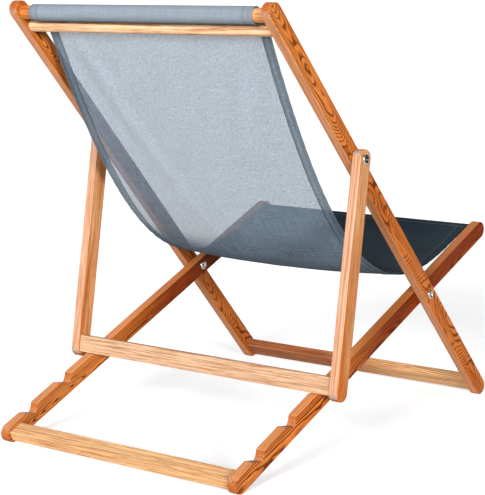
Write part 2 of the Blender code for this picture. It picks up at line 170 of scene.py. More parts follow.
def on_back(distance):
    """A point on the back frame's centre line, measured down from its top end."""
    return offset_point(SCISSOR, BACK_ANGLE, BACK_TO_SCISSOR - distance)


def on_seat(distance):
    """A point on the seat frame's centre line, measured back from its front end."""
    return offset_point(SCISSOR, -SEAT_ANGLE, distance - SEAT_TO_SCISSOR)


PROP_PIVOT = on_back(BACK_TO_PROP)


def on_prop(distance):
    """A point on the prop frame's centre line, measured down from its pivot."""
    return offset_point(PROP_PIVOT, PROP_LEAN - math.pi / 2, distance)


# ---------------------------------------------------------------- node helpers

class Tree:
    """A material's nodes, with short calls for the ones used here."""

    def __init__(self, material):
        self.nodes = material.node_tree.nodes
        self.links = material.node_tree.links

    def add(self, kind, **settings):
        node = self.nodes.new(kind)
        for name, value in settings.items():
            setattr(node, name, value)
        return node

    def feed(self, socket, value):
        if isinstance(value, bpy.types.NodeSocket):
            self.links.new(value, socket)
        elif value is not None:
            socket.default_value = value

    def math(self, operation, a, b=None, c=None, clamp=False):
        node = self.add("ShaderNodeMath", operation=operation, use_clamp=clamp)
        for socket, value in zip(node.inputs, (a, b, c)):
            self.feed(socket, value)
        return node.outputs[0]

    def less(self, a, b):
        """Vector a minus vector b."""
        node = self.add("ShaderNodeVectorMath", operation="SUBTRACT")
        self.feed(node.inputs[0], a)
        self.feed(node.inputs[1], b)
        return node.outputs["Vector"]

    def split(self, vector):
        node = self.add("ShaderNodeSeparateXYZ")
        self.feed(node.inputs[0], vector)
        return node.outputs

    def join(self, x, y, z):
        node = self.add("ShaderNodeCombineXYZ")
        for socket, value in zip(node.inputs, (x, y, z)):
            self.feed(socket, value)
        return node.outputs[0]

    def distance(self, a, b):
        """The length of the flat vector (a, b)."""
        return self.math("SQRT", self.math("ADD", self.math("MULTIPLY", a, a), self.math("MULTIPLY", b, b)))

    def noise(self, vector, scale=1.0, detail=2.0, roughness=0.5):
        node = self.add("ShaderNodeTexNoise")
        self.feed(node.inputs["Vector"], vector)
        self.feed(node.inputs["Scale"], scale)
        self.feed(node.inputs["Detail"], detail)
        self.feed(node.inputs["Roughness"], roughness)
        return node.outputs["Fac"]

    def ramp(self, value, stops):
        """A grey level that follows (position, level) stops."""
        node = self.add("ShaderNodeValToRGB")
        elements = node.color_ramp.elements
        while len(elements) < len(stops):
            elements.new(0.5)
        for element, (position, level) in zip(elements, stops):
            element.position = position
            element.color = (level, level, level, 1.0)
        self.feed(node.inputs[0], value)
        return node.outputs["Color"]

    def spread(self, value, low, high, to_low=0.0, to_high=1.0):
        """Maps low..high to to_low..to_high, and holds the ends."""
        node = self.add("ShaderNodeMapRange", clamp=True)
        for socket, number in zip(node.inputs, (value, low, high, to_low, to_high)):
            self.feed(socket, number)
        return node.outputs[0]

    def blend(self, factor, a, b, mode="MIX"):
        node = self.add("ShaderNodeMix", data_type="RGBA", blend_type=mode)
        self.feed(node.inputs[0], factor)
        self.feed(node.inputs[6], a if isinstance(a, bpy.types.NodeSocket) else (*a, 1.0))
        self.feed(node.inputs[7], b if isinstance(b, bpy.types.NodeSocket) else (*b, 1.0))
        return node.outputs[2]

    def bump(self, height, distance, strength=1.0):
        node = self.add("ShaderNodeBump")
        self.feed(node.inputs["Height"], height)
        self.feed(node.inputs["Distance"], distance)
        self.feed(node.inputs["Strength"], strength)
        return node.outputs["Normal"]


def new_material(name):
    material = bpy.data.materials.new(name)
    material.use_nodes = True
    return material, Tree(material), material.node_tree.nodes["Principled BSDF"].inputs


# ---------------------------------------------------------------- wood

BLOND_AND_LIT = (0.375, 0.342, 0.312)        # narrow faces of the rails and legs: partly paler wood, partly painted light that brightens them
CREAM = (0.760, 0.500, 0.300)
DRY = (0.520, 0.345, 0.215)
STRAW = (0.680, 0.415, 0.205)
PALE = (0.610, 0.228, 0.060)
AMBER = (0.570, 0.150, 0.012)
SHADE_RUSSET = (0.175, 0.023, 0.002)       # painted shade along part of a board
LATE = (0.095, 0.016, 0.002)         # late wood lines and pores
END_GRAIN = (0.260, 0.075, 0.024)
FIBRE = (0.470, 0.285, 0.175)

# Dark line of late wood through one ring, then fading to the next one's early wood
RING_LINE = ((0.0, 0.10), (0.08, 1.0), (0.24, 0.90), (0.46, 0.22), (0.80, 0.0), (1.0, 0.10))
SEED_STEP = 3.17             # metres of noise that one seed is away from the next
WANDER = 0.0060              # small unevenness of the rings
SIDE_SWAY = 0.35             # share of the rings' sway that runs across the width
YEAR_CHANGE = 0.9            # how unevenly the rings follow each other, in rings
SHADE_FADE = 0.20        # length over which the painted shade comes and goes
PALE_EDGE_FROM = 0.0016           # distance from an edge where its wear and painted highlight start
PALE_EDGE_TO = 0.0002


class Board(NamedTuple):
    """How one timber lies, how it is cut from its tree, and its colours."""
    name: str
    origin: tuple            # y and z of its own zero
    angle: float             # of its length in the side view, or of its section if across
    across: bool             # runs across the chair
    seed: float
    heart: tuple             # the tree's centre: across the width, across the thickness
    slope: tuple             # taken off heart to a metre of length, as the fibres run out
    light: tuple
    deep: tuple
    contrast: float = 1.0    # of the late wood lines
    swing: float = 0.060     # how far the rings swing, which draws arches on a wide face
    narrow_lit_share: float = 0.0    # how much paler the narrow faces are: partly their own tone, partly painted light
    dark: tuple = None       # painted shade along the board: from, to, share
    rings: float = 390.0     # to a metre of radius


def board_turn(board):
    """From a board's own axes (length, width, depth) to the chair's."""
    cos = math.cos(board.angle)
    sin = math.sin(board.angle)
    if board.across:
        return Matrix(((1, 0, 0), (0, cos, -sin), (0, sin, cos)))
    return Matrix(((0, 0, 1), (cos, -sin, 0), (sin, cos, 0)))


def board_point(tree, board, coordinates):
    """Length, width and depth of a surface point on the board."""
    place = tree.add("ShaderNodeMapping", vector_type="TEXTURE")
    place.inputs["Location"].default_value = (0.0, *board.origin)
    place.inputs["Rotation"].default_value = board_turn(board).to_euler("XYZ")
    tree.feed(place.inputs["Vector"], coordinates.outputs["Object"])
    return tree.split(place.outputs["Vector"])


def ring_lines(tree, board, point, grain):
    """How dark the late wood is, where the tree's rings cut the surface."""
    length, width, depth = point
    drift = tree.math("MULTIPLY", tree.math("SUBTRACT", grain(4.6, 9.0, 1.0), 0.5), board.swing)
    wander = tree.math("MULTIPLY", tree.math("SUBTRACT", grain(14.0, 40.0, 2.0), 0.5), WANDER)
    sway = tree.math("ADD", drift, wander)
    lean_w = tree.math("MULTIPLY_ADD", length, board.slope[0], -board.heart[0])
    lean_d = tree.math("MULTIPLY_ADD", length, board.slope[1], -board.heart[1])
    far_w = tree.math("ADD", tree.math("ADD", width, lean_w), tree.math("MULTIPLY", sway, SIDE_SWAY))
    far_d = tree.math("ADD", tree.math("ADD", depth, lean_d), sway)
    radius = tree.distance(far_w, far_d)
    year = tree.noise(tree.join(tree.math("MULTIPLY", radius, 90.0), board.seed, 0.0))
    uneven = tree.math("MULTIPLY", year, YEAR_CHANGE)
    ring = tree.math("FRACT", tree.math("ADD", tree.math("MULTIPLY", radius, board.rings), uneven))
    return tree.ramp(ring, RING_LINE)


def face_shares(tree, board, coordinates):
    """How far a point lies on an end face, and on a narrow face."""
    x, y, z = tree.split(coordinates.outputs["Normal"])
    cos = math.cos(board.angle)
    sin = math.sin(board.angle)
    facing = x
    if not board.across:
        facing = tree.math("ADD", tree.math("MULTIPLY", y, cos), tree.math("MULTIPLY", z, sin))
    sideways = tree.math("ADD", tree.math("MULTIPLY", y, sin), tree.math("MULTIPLY", z, -cos))
    end = tree.spread(tree.math("ABSOLUTE", facing), 0.45, 0.95)
    narrow = tree.spread(tree.math("ABSOLUTE", sideways), 0.55, 0.85)
    return end, narrow


def ground_colour(tree, board, length, cloud, narrow):
    """The wood's colour under its lines: two cloudy tones, paler narrow faces that are partly painted
    light, and a span of painted shade along the board.
    """
    ground = tree.blend(tree.spread(cloud, 0.30, 0.70), board.light, board.deep)
    # paler narrow faces: partly the wood's own tone, partly painted light
    ground = tree.blend(tree.math("MULTIPLY", narrow, board.narrow_lit_share), ground, BLOND_AND_LIT)
    if board.dark is None:
        return ground
    # painted shade: a darker russet span along the board
    start, stop, share = board.dark
    edge = tree.math("MULTIPLY_ADD", cloud, 0.16, length)
    rise = tree.spread(edge, start, start + SHADE_FADE, 0.0, share)
    fall = tree.spread(edge, stop, stop + SHADE_FADE, 1.0, 0.0)
    return tree.blend(tree.math("MULTIPLY", rise, fall), ground, SHADE_RUSSET)


# paler eased edges: some wear and a painted highlight
def worn_and_lit_edges(tree, width, depth):
    edge_w = tree.spread(tree.math("ABSOLUTE", width), HALF_RAIL - PALE_EDGE_FROM, HALF_RAIL - PALE_EDGE_TO)
    edge_d = tree.spread(tree.math("ABSOLUTE", depth), HALF_DEPTH - PALE_EDGE_FROM, HALF_DEPTH - PALE_EDGE_TO)
    return tree.math("MULTIPLY", edge_w, edge_d)


def wood(board):
    """Oiled ash, cut through the rings of its own tree."""
    material, tree, shader = new_material(board.name)
    coordinates = tree.add("ShaderNodeTexCoord")
    length, width, depth = board_point(tree, board, coordinates)
    shifted = tree.math("ADD", length, board.seed * SEED_STEP)

    def grain(along, sideways, detail, roughness=0.5):
        """Noise with its waves to a metre along and across the board."""
        place = tree.join(tree.math("MULTIPLY", shifted, along),
                          tree.math("MULTIPLY", width, sideways),
                          tree.math("MULTIPLY", depth, sideways))
        return tree.noise(place, 1.0, detail, roughness)

    line = ring_lines(tree, board, (length, width, depth), grain)
    patchy = tree.spread(grain(9.0, 60.0, 2.0), 0.30, 0.58, 0.55, 1.0)
    fibre = grain(9.0, 420.0, 3.0, 0.70)
    pores = tree.spread(grain(34.0, 760.0, 1.0), 0.58, 0.70)
    cloud = grain(2.6, 18.0, 2.0)
    end, narrow = face_shares(tree, board, coordinates)

    ground = ground_colour(tree, board, length, cloud, narrow)
    quiet = tree.math("MULTIPLY_ADD", narrow, -0.45, board.contrast)
    line_depth = tree.math("MULTIPLY", tree.math("MULTIPLY", line, patchy), quiet, clamp=True)
    colour = tree.blend(line_depth, ground, LATE)
    colour = tree.blend(tree.spread(fibre, 0.42, 0.64, 0.0, 0.80), colour, FIBRE, "MULTIPLY")
    pore_share = tree.math("MULTIPLY", pores, tree.math("MULTIPLY_ADD", line, 0.48, 0.26))
    colour = tree.blend(pore_share, colour, LATE)
    colour = tree.blend(tree.math("MULTIPLY", end, 0.55), colour, END_GRAIN)
    pale_edge = worn_and_lit_edges(tree, width, depth)
    # painted highlight with some wear along the eased edges
    colour = tree.blend(tree.math("MULTIPLY", pale_edge, 0.38), colour, PALE)
    tree.feed(shader["Base Color"], colour)

    shader["Specular IOR Level"].default_value = 0.06
    dull = tree.math("ADD", tree.spread(fibre, 0.3, 0.7, 0.36, 0.47), tree.math("MULTIPLY", line, 0.09))
    tree.feed(shader["Roughness"], dull)
    hollows = tree.math("ADD", tree.math("MULTIPLY", line, 0.55), tree.math("MULTIPLY", pores, 0.5))
    relief = tree.math("SUBTRACT", tree.math("MULTIPLY", fibre, 0.35), hollows)
    tree.feed(shader["Normal"], tree.bump(relief, 0.00022, 0.8))
    return material


def dress(node, material):
    """Gives a CAD node its material, and keeps its shape."""
    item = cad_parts[node]
    item.data.materials.clear()
    item.data.materials.append(material)


DOWN_BACK = BACK_ANGLE + math.pi
ALONG_SEAT = -SEAT_ANGLE
DOWN_PROP = PROP_LEAN - math.pi / 2


def dress_rails():
    for side, sign, shift in (("left", 1, 0.0), ("right", -1, 5.3)):
        dress("back_rail_" + side, wood(Board(
            name="ash back rail " + side, origin=on_back(0), angle=DOWN_BACK, across=False,
            seed=2.0 + shift, heart=(0.004, 0.2680 * sign), slope=(0.004, 0.070 * sign),
            light=PALE, deep=AMBER, contrast=0.98, swing=0.085, narrow_lit_share=0.56,
            dark=(0.38, 2.0, 0.25), rings=520.0)))
        dress("seat_rail_" + side, wood(Board(
            name="ash seat rail " + side, origin=on_seat(0), angle=ALONG_SEAT, across=False,
            seed=3.4 + shift, heart=(-0.012, 0.236 * sign), slope=(-0.006, 0.0),
            light=PALE, deep=AMBER, contrast=1.15, swing=0.030, narrow_lit_share=0.30,
            dark=(-1.0, 0.44, 0.94))))
        dress("prop_leg_" + side, wood(Board(
            name="ash prop leg " + side, origin=on_prop(0), angle=DOWN_PROP, across=False,
            seed=5.1 + shift, heart=(0.040, 0.300 * sign), slope=(0.003, 0.0),
            light=STRAW, deep=AMBER, contrast=0.95, swing=0.022, narrow_lit_share=0.96)))


BARS = {
    "head_dowel": dict(
        origin=on_back(BACK_TO_HEAD), angle=0.0, seed=1.3, heart=(0.030, 0.020),
        light=STRAW, deep=AMBER, contrast=0.6, swing=0.012),
    "upper_crossbar": dict(
        origin=on_back(BACK_TO_CROSSBAR), angle=0.4, seed=7.7, heart=(0.060, -0.020),
        light=CREAM, deep=CREAM, contrast=0.35, swing=0.008),
    "front_stretcher": dict(
        origin=on_back(BACK_TO_STRETCHER), angle=DOWN_BACK, seed=4.6, heart=(0.020, 0.030),
        light=STRAW, deep=STRAW, contrast=0.9, swing=0.030, dark=(-0.06, 2.0, 0.78)),
    "seat_dowel": dict(
        origin=on_seat(SEAT_TO_DOWEL), angle=0.8, seed=6.2, heart=(0.030, 0.014),
        light=STRAW, deep=AMBER, contrast=0.6, swing=0.012),
    "rear_stretcher": dict(
        origin=on_seat(SEAT_TO_STRETCHER), angle=ALONG_SEAT, seed=8.9, heart=(0.030, -0.030),
        light=STRAW, deep=STRAW, contrast=0.70, swing=0.022),
    "prop_crossbar": dict(
        origin=on_prop(PROP_TO_BAR), angle=DOWN_PROP, seed=9.5, heart=(-0.080, 0.020),
        light=DRY, deep=DRY, contrast=0.75, swing=0.010),
}


def dress_bars():
    for name, cut in BARS.items():
        board = Board(name="ash " + name.replace("_", " "), across=True, slope=(0.004, 0.003), **cut)
        dress(name, wood(board))


# ---------------------------------------------------------------- sling shape

def bezier(points, steps):
    """A Bezier curve through the first and last point, pulled by the others."""
    result = []
    for step in range(steps + 1):
        t = step / steps
        rows = list(points)
        while len(rows) > 1:
            pairs = zip(rows, rows[1:])
            rows = [((1 - t) * a[0] + t * b[0], (1 - t) * a[1] + t * b[1]) for a, b in pairs]
        result.append(rows[0])
    return result


def even_steps(points, step):
    """The same line with its points a fixed distance apart."""
    travelled = [0.0]
    for a, b in zip(points, points[1:]):
        travelled.append(travelled[-1] + math.hypot(b[0] - a[0], b[1] - a[1]))
    count = max(2, round(travelled[-1] / step))
    result = []
    index = 0
    for k in range(count + 1):
        want = travelled[-1] * k / count
        while index < len(points) - 2 and travelled[index + 1] < want:
            index += 1
        span = travelled[index + 1] - travelled[index]
        share = (want - travelled[index]) / span
        a, b = points[index], points[index + 1]
        result.append((a[0] + (b[0] - a[0]) * share, a[1] + (b[1] - a[1]) * share))
    return result


def arc(centre, radius, start, sweep, steps):
    return [offset_point(centre, start + sweep * k / steps, radius) for k in range(steps + 1)]


def sling_path():
    """Middle of the cloth in the side view, from the seam under the head dowel, round the
    dowel, over the crossbar, down the back, along the seat, and round the seat dowel.
    Returns the points and the indices where the open cloth begins and ends."""
    head = on_back(BACK_TO_HEAD)
    bar = on_back(BACK_TO_CROSSBAR)
    dowel = on_seat(SEAT_TO_DOWEL)
    quarter = math.pi / 2
    run = math.hypot(bar[0] - head[0], bar[1] - head[1])
    first = BACK_ANGLE - math.asin((SLEEVE - CROSSBAR_TOUCH) / run)
    over = arc(bar, CROSSBAR_TOUCH, first + quarter, BACK_SLOPE - first, 4)
    forward = math.pi - SEAT_SLOPE
    finish = offset_point(dowel, forward - quarter, SLEEVE)
    down = BACK_SLOPE + math.pi
    back = forward + math.pi
    guide_1 = offset_point(over[-1], down, BACK_RUNS[0])
    guide_2 = offset_point(guide_1, down + BACK_TURN, BACK_RUNS[1])
    guide_4 = offset_point(finish, back, SEAT_RUNS[0])
    guide_3 = offset_point(guide_4, back + SEAT_TURN, SEAT_RUNS[1])
    hung = bezier((over[-1], guide_1, guide_2, guide_3, guide_4, finish), HUNG_STEPS)
    leave = offset_point(head, first + quarter, SLEEVE)
    open_cloth = even_steps([leave] + over[:-1] + hung, ROW_STEP)
    head_wrap = sleeve(head, open_cloth[0], open_cloth[1], False)
    seat_wrap = sleeve(dowel, open_cloth[-1], open_cloth[-2], True)
    path = head_wrap[:-1] + open_cloth + seat_wrap[1:]
    return path, len(head_wrap) - 1, len(head_wrap) - 1 + len(open_cloth) - 1


def sleeve(centre, start, toward, at_end):
    """The cloth's way round a dowel, back to where it is sewn to itself."""
    a0 = math.atan2(start[1] - centre[1], start[0] - centre[0])
    layer = CLOTH + LAYER_GAP
    closing = math.acos((SLEEVE - layer) / SLEEVE)
    sweep = 2 * math.pi - closing
    round_it = arc(centre, SLEEVE, a0, sweep if at_end else -sweep, SLEEVE_STEPS)
    last = round_it[-1]
    run = math.hypot(toward[0] - start[0], toward[1] - start[1])
    along = ((toward[0] - start[0]) / run, (toward[1] - start[1]) / run)
    tail = SEAM_TAILS[at_end]
    shares = [tail * k / 3 for k in range(1, 4)]
    seam = [(last[0] + along[0] * share, last[1] + along[1] * share) for share in shares]
    wrap = round_it + seam
    return wrap if at_end else list(reversed(wrap))


def normals_of(path):
    """Unit normals on the cloth's underside, the side that the dowels are on."""
    result = []
    for index in range(len(path)):
        a = path[max(index - 1, 0)]
        b = path[min(index + 1, len(path) - 1)]
        length = math.hypot(b[0] - a[0], b[1] - a[1])
        result.append(((a[1] - b[1]) / length, (b[0] - a[0]) / length))
    return result


def smooth(value, low, high):
    """0 below low, 1 above high, and an even S between."""
    t = min(max((value - low) / (high - low), 0.0), 1.0)
    return t * t * (3 - 2 * t)


class Sling:
    """The hung cloth: its path, the folds in it, and where a point of it lies."""

    def __init__(self):
        self.path, self.first, self.last = sling_path()
        self.normals = normals_of(self.path)
        self.travel = [0.0]
        for a, b in zip(self.path, self.path[1:]):
            self.travel.append(self.travel[-1] + math.hypot(b[0] - a[0], b[1] - a[1]))
        self.open_from = self.travel[self.first]
        self.open_to = self.travel[self.last]

    def fold(self, x, travelled):
        """How far the cloth stands off its path: soft folds that run down from the corners,
        slow waves, a faint ripple that the stitching draws into the hems, and the sag."""
        s = travelled - self.open_from
        span = self.open_to - self.open_from
        free = smooth(s, *CALM_HEAD) * (1 - smooth(s, span - CALM_SEAT[0], span - CALM_SEAT[1]))
        wave = 0.0
        for sign, reach, size, phase in CORNER_FOLDS:
            lean = sign * x - FOLD_CORNER + FOLD_LEAN * s
            fade = math.exp(-((s - FOLD_DEEPEST) / reach) ** 2)
            wave += size * fade * math.cos(lean / FOLD_PITCH + phase) * math.exp(-(lean / FOLD_BAND) ** 2)
        size, across, down = BROAD_WAVE
        wave += size * math.sin(x / across + 1.3) * math.sin(s / down + 0.4)
        size, across, down = FINE_WAVE
        ripple = math.sin(x / across + 2.0 * math.sin(s / down))
        wave += size * ripple * math.exp(-(s / FINE_REACH) ** 2)
        size, pitch, change = HEM_RIPPLE
        edge = smooth(abs(x), HALF_WIDTH - 2.2 * HEM, HALF_WIDTH - 0.4 * HEM)
        wave += size * edge * math.sin(s / pitch + 1.7 * math.sin(s / change))
        sag = SAG * (1 - (x / HALF_WIDTH) ** 2) * math.exp(-((s - SAG_AT) / SAG_REACH) ** 2)
        return (wave + sag) * free

    def point(self, row, x, below):
        """A point on one row of the cloth, at a depth below the middle of its upper layer."""
        y, z = self.path[row]
        ny, nz = self.normals[row]
        off = below + self.fold(x, self.travel[row])
        return (x, y + ny * off, z + nz * off)

    def at(self, travelled, x, below):
        """The same, at any distance along the cloth."""
        row = 0
        while row < len(self.travel) - 2 and self.travel[row + 1] < travelled:
            row += 1
        share = (travelled - self.travel[row]) / (self.travel[row + 1] - self.travel[row])
        a = Vector(self.point(row, x, below))
        b = Vector(self.point(row + 1, x, below))
        return a.lerp(b, share)


def cross_section():
    """The cloth cut across its width: one layer with a hem folded under at each edge.
    Pairs of x and depth below the middle of the upper layer, as one closed outline."""
    half = CLOTH / 2
    low = CLOTH + LAYER_GAP
    tucked = HALF_WIDTH - 0.0004
    inner = HALF_WIDTH - HEM
    middle = (half + low) / 2
    reach = (low + CLOTH) / 2
    top = [(HALF_WIDTH * (2 * k / COLUMNS - 1), -half) for k in range(COLUMNS + 1)]
    fold = []
    for k in range(1, 6):
        angle = math.pi * k / 6
        fold.append((HALF_WIDTH + reach * math.sin(angle), middle - reach * math.cos(angle)))
    hem = [(HALF_WIDTH - HEM * k / 4, low + half) for k in range(5)]
    hem += [(inner + HEM * k / 4, low - half) for k in range(4)]
    hem += [(tucked, low - half), (tucked, half)]
    hem += [(HALF_WIDTH - HEM * k / 4, half) for k in range(1, 5)]
    right = fold + hem
    left = [(-x, depth) for x, depth in reversed(right)]
    under = [(x, half) for x, _ in reversed(top) if abs(x) < inner - 0.001]
    return top + right + under + left


def build_sling(cloth):
    """The cloth as one closed sheet, with the distance along it kept on every point."""
    shape = bmesh.new()
    outline = cross_section()
    layer = shape.verts.layers.float.new("travel")
    rings = []
    for row in range(len(cloth.path)):
        ring = [shape.verts.new(cloth.point(row, x, depth)) for x, depth in outline]
        for vert in ring:
            vert[layer] = cloth.travel[row]
        rings.append(ring)
    count = len(outline)
    for above, below in zip(rings, rings[1:]):
        for k in range(count):
            after = (k + 1) % count
            shape.faces.new((above[k], above[after], below[after], below[k]))
    shape.faces.new(rings[0])
    shape.faces.new(list(reversed(rings[-1])))
    return finish_piece(shape, "sling_cloth")


def finish_piece(shape, name):
    """Turns a finished bmesh into a smooth object of the scene."""
    bmesh.ops.recalc_face_normals(shape, faces=shape.faces)
    mesh = bpy.data.meshes.new(name)
    shape.to_mesh(mesh)
    shape.free()
    for face in mesh.polygons:
        face.use_smooth = True
    item = bpy.data.objects.new(name, mesh)
    bpy.context.scene.collection.objects.link(item)
    return item


STITCH_RINGS = ((0.0, 0.35, 0.7), (0.22, 0.95, 0.1), (0.78, 0.95, 0.1), (1.0, 0.35, 0.7))
STITCH_SIDES = 6


def add_stitch(shape, start, finish, up):
    """One short thread: a six sided body that dips into the cloth at both ends. Each of its
    rings has a share of the length, a size and a depth, in radii."""
    along = (finish - start).normalized()
    across = along.cross(up).normalized()
    rings = []
    for share, size, sink in STITCH_RINGS:
        centre = start.lerp(finish, share) - up * STITCH_RADIUS * sink
        ring = []
        for k in range(STITCH_SIDES):
            angle = 2 * math.pi * k / STITCH_SIDES
            spoke = across * math.cos(angle) + up * math.sin(angle)
            ring.append(shape.verts.new(centre + spoke * STITCH_RADIUS * size))
        rings.append(ring)
    for a, b in zip(rings, rings[1:]):
        for k in range(STITCH_SIDES):
            after = (k + 1) % STITCH_SIDES
            shape.faces.new((a[k], a[after], b[after], b[k]))
    shape.faces.new(rings[0])
    shape.faces.new(list(reversed(rings[-1])))


def stitch_along(shape, cloth, start, stop, x, below):
    """A row of threads down the cloth's length."""
    for k in range(int((stop - start) / STITCH_PITCH)):
        travelled = start + k * STITCH_PITCH
        sew(shape, cloth, (travelled, x), (travelled + STITCH_LENGTH, x), below)


def stitch_across(shape, cloth, travelled, below):
    """A row of threads over the cloth's width."""
    first = -HALF_WIDTH + STITCH_MARGIN
    for k in range(int((2 * HALF_WIDTH - 2 * STITCH_MARGIN) / STITCH_PITCH)):
        x = first + k * STITCH_PITCH
        sew(shape, cloth, (travelled, x), (travelled, x + STITCH_LENGTH), below)


def sew(shape, cloth, start, finish, below):
    a = cloth.at(*start, below)
    b = cloth.at(*finish, below)
    under = cloth.at(*start, below + 0.001) - a
    up = under.normalized() * (1 if below > 0 else -1)
    add_stitch(shape, a, b, up)


def build_stitches(cloth):
    """Threads above and below both hems, and over each sleeve's seam."""
    shape = bmesh.new()
    half = CLOTH / 2
    lower = CLOTH + LAYER_GAP + half
    start = cloth.open_from + STITCH_MARGIN
    stop = cloth.open_to - STITCH_MARGIN
    for sign in (1, -1):
        x = sign * (HALF_WIDTH - HEM + STITCH_INSET)
        stitch_along(shape, cloth, start, stop, x, lower)
        stitch_along(shape, cloth, start, stop, x, -half)
    stitch_across(shape, cloth, cloth.open_to - SEAM_FROM_SEAT, -half)
    stitch_across(shape, cloth, cloth.open_from + SEAM_FROM_HEAD, -half)
    return finish_piece(shape, "sling_stitches")


# ---------------------------------------------------------------- sling material

THREAD_PITCH = 0.00078
DULL_THREAD = (0.196, 0.262, 0.332)
PALE_THREAD = (0.286, 0.364, 0.444)
STREAK = (0.105, 0.150, 0.200)
SPECK = (0.095, 0.138, 0.188)
HEM_SHADE = (0.050, 0.076, 0.102)
SEAM_SHADE = (0.040, 0.060, 0.080)
CLOUD = (0.145, 0.190, 0.238)
WEAVE_SHADE = (0.100, 0.145, 0.195)
SLEEVE_GREY = (0.230, 0.255, 0.280)
SEAT_SHADE = (0.011, 0.021, 0.029)

# Distances along the cloth between which something comes or goes
HEAD_SLEEVE_END = (0.092, 0.100)
HEM_FADE = (0.12, 0.46)
SHADE_STARTS = (0.56, 0.78)
PACKING_STARTS = (0.49, 0.66)


def crossed(tree, x, travel, fine, coarse, seeds, detail):
    """Noise of threads both ways, down the cloth plus across it: fine counts them to a
    metre, and coarse is how often each kind changes along its own length."""
    down = tree.join(tree.math("MULTIPLY", x, fine), tree.math("MULTIPLY", travel, coarse[0]), seeds[0])
    over = tree.join(tree.math("MULTIPLY", x, coarse[1]), tree.math("MULTIPLY", travel, fine), seeds[1])
    return tree.math("ADD", tree.noise(down, 1.0, detail), tree.noise(over, 1.0, detail))


def off_line(tree, side, line):
    """Distance from a line that runs down the cloth at the given distance from its middle."""
    return tree.math("ABSOLUTE", tree.math("SUBTRACT", side, line))


def shade_hems(tree, colour, side, travel):
    """Painted shade on the doubled hems, deepest near the head and fading down the cloth, with a paler
    middle, and dark lines along their stitching.
    """
    hem = tree.spread(side, HALF_WIDTH - HEM - 0.0010, HALF_WIDTH - HEM + 0.0005)
    share = tree.math("MULTIPLY", hem, tree.spread(travel, *HEM_FADE, 0.90, 0.42))
    middle = off_line(tree, side, HALF_WIDTH - 0.58 * HEM)
    share = tree.math("MULTIPLY", share, tree.spread(middle, 0.0012, 0.0052, 0.45, 1.0))
    # painted shade on the hems, deepest near the head
    colour = tree.blend(share, colour, HEM_SHADE)
    seam = off_line(tree, side, HALF_WIDTH - HEM + 0.0006)
    outer_seam = off_line(tree, side, HALF_WIDTH - 0.0058)
    line = tree.spread(tree.math("MINIMUM", seam, outer_seam), 0.0007, 0.0022, 0.62, 0.0)
    return tree.blend(line, colour, SEAM_SHADE)


def canvas():
    """Plain woven outdoor canvas: slate blue-grey, thin enough that light and shapes show
    through a single layer of the back, denser toward the seat, and darkened there with painted shade."""
    material, tree, shader = new_material("slate canvas")
    place = tree.add("ShaderNodeTexCoord").outputs["Object"]
    x = tree.split(place)[0]
    side = tree.math("ABSOLUTE", x)
    travel = tree.add("ShaderNodeAttribute", attribute_name="travel").outputs["Fac"]
    warp = tree.math("SINE", tree.math("MULTIPLY", x, 2 * math.pi / THREAD_PITCH))
    weft = tree.math("SINE", tree.math("MULTIPLY", travel, 2 * math.pi / THREAD_PITCH))
    weave = tree.math("MULTIPLY", warp, weft)
    threads = crossed(tree, x, travel, 900.0, (26.0, 26.0), (0.0, 3.0), 2.0)
    streaks = crossed(tree, x, travel, 250.0, (22.0, 14.0), (7.0, 9.0), 3.0)
    specks = crossed(tree, x, travel, 480.0, (170.0, 170.0), (5.0, 8.0), 1.0)
    specks = tree.math("MULTIPLY", specks, 0.5)
    cloud = tree.noise(place, 7.0, 3.0, 0.6)
    wrapped = tree.spread(travel, *HEAD_SLEEVE_END, 1.0, 0.0)

    colour = tree.blend(tree.spread(threads, 0.72, 1.28), DULL_THREAD, PALE_THREAD)
    colour = tree.blend(tree.spread(streaks, 0.80, 1.14, 0.75, 0.0), colour, STREAK)
    colour = tree.blend(tree.spread(specks, 0.40, 0.60, 0.55, 0.0), colour, SPECK)
    colour = shade_hems(tree, colour, side, travel)
    colour = tree.blend(tree.spread(cloud, 0.3, 0.7, 0.0, 0.30), colour, CLOUD)
    colour = tree.blend(tree.spread(weave, -1.0, 1.0, 0.22, 0.0), colour, WEAVE_SHADE)
    colour = tree.blend(tree.math("MULTIPLY", wrapped, 0.60), colour, SLEEVE_GREY)
    # painted shade over the seat, where the backrest shades it
    colour = tree.blend(tree.spread(travel, *SHADE_STARTS, 0.0, 0.98), colour, SEAT_SHADE)
    tree.feed(shader["Base Color"], colour)

    tree.feed(shader["Roughness"], tree.spread(threads, 0.7, 1.3, 0.94, 0.80))
    shader["Specular IOR Level"].default_value = 0.05
    shader["Sheen Weight"].default_value = 0.02
    shader["Sheen Roughness"].default_value = 0.5
    shader["Sheen Tint"].default_value = (0.80, 0.88, 1.0, 1.0)

    closed = tree.math("ADD", weave, tree.math("MULTIPLY", threads, 0.6))
    density = tree.spread(closed, -0.4, 1.6, 0.56, 0.42)
    density = tree.math("ADD", density, tree.spread(specks, 0.38, 0.62, 0.035, -0.035))
    packed = tree.spread(travel, *PACKING_STARTS, 0.0, 0.94)
    packed = tree.math("MAXIMUM", packed, tree.math("MULTIPLY", wrapped, 0.84))
    shadow = tree.add("ShaderNodeLightPath").outputs["Is Shadow Ray"]
    shading = tree.math("MULTIPLY", shadow, SHADE_DENSITY)
    density = tree.math("MAXIMUM", density, packed)
    tree.feed(shader["Alpha"], tree.math("MAXIMUM", density, shading))
    height = tree.math("ADD", tree.math("MULTIPLY", weave, 0.5), threads)
    tree.feed(shader["Normal"], tree.bump(height, 0.00010, 0.5))
    return material


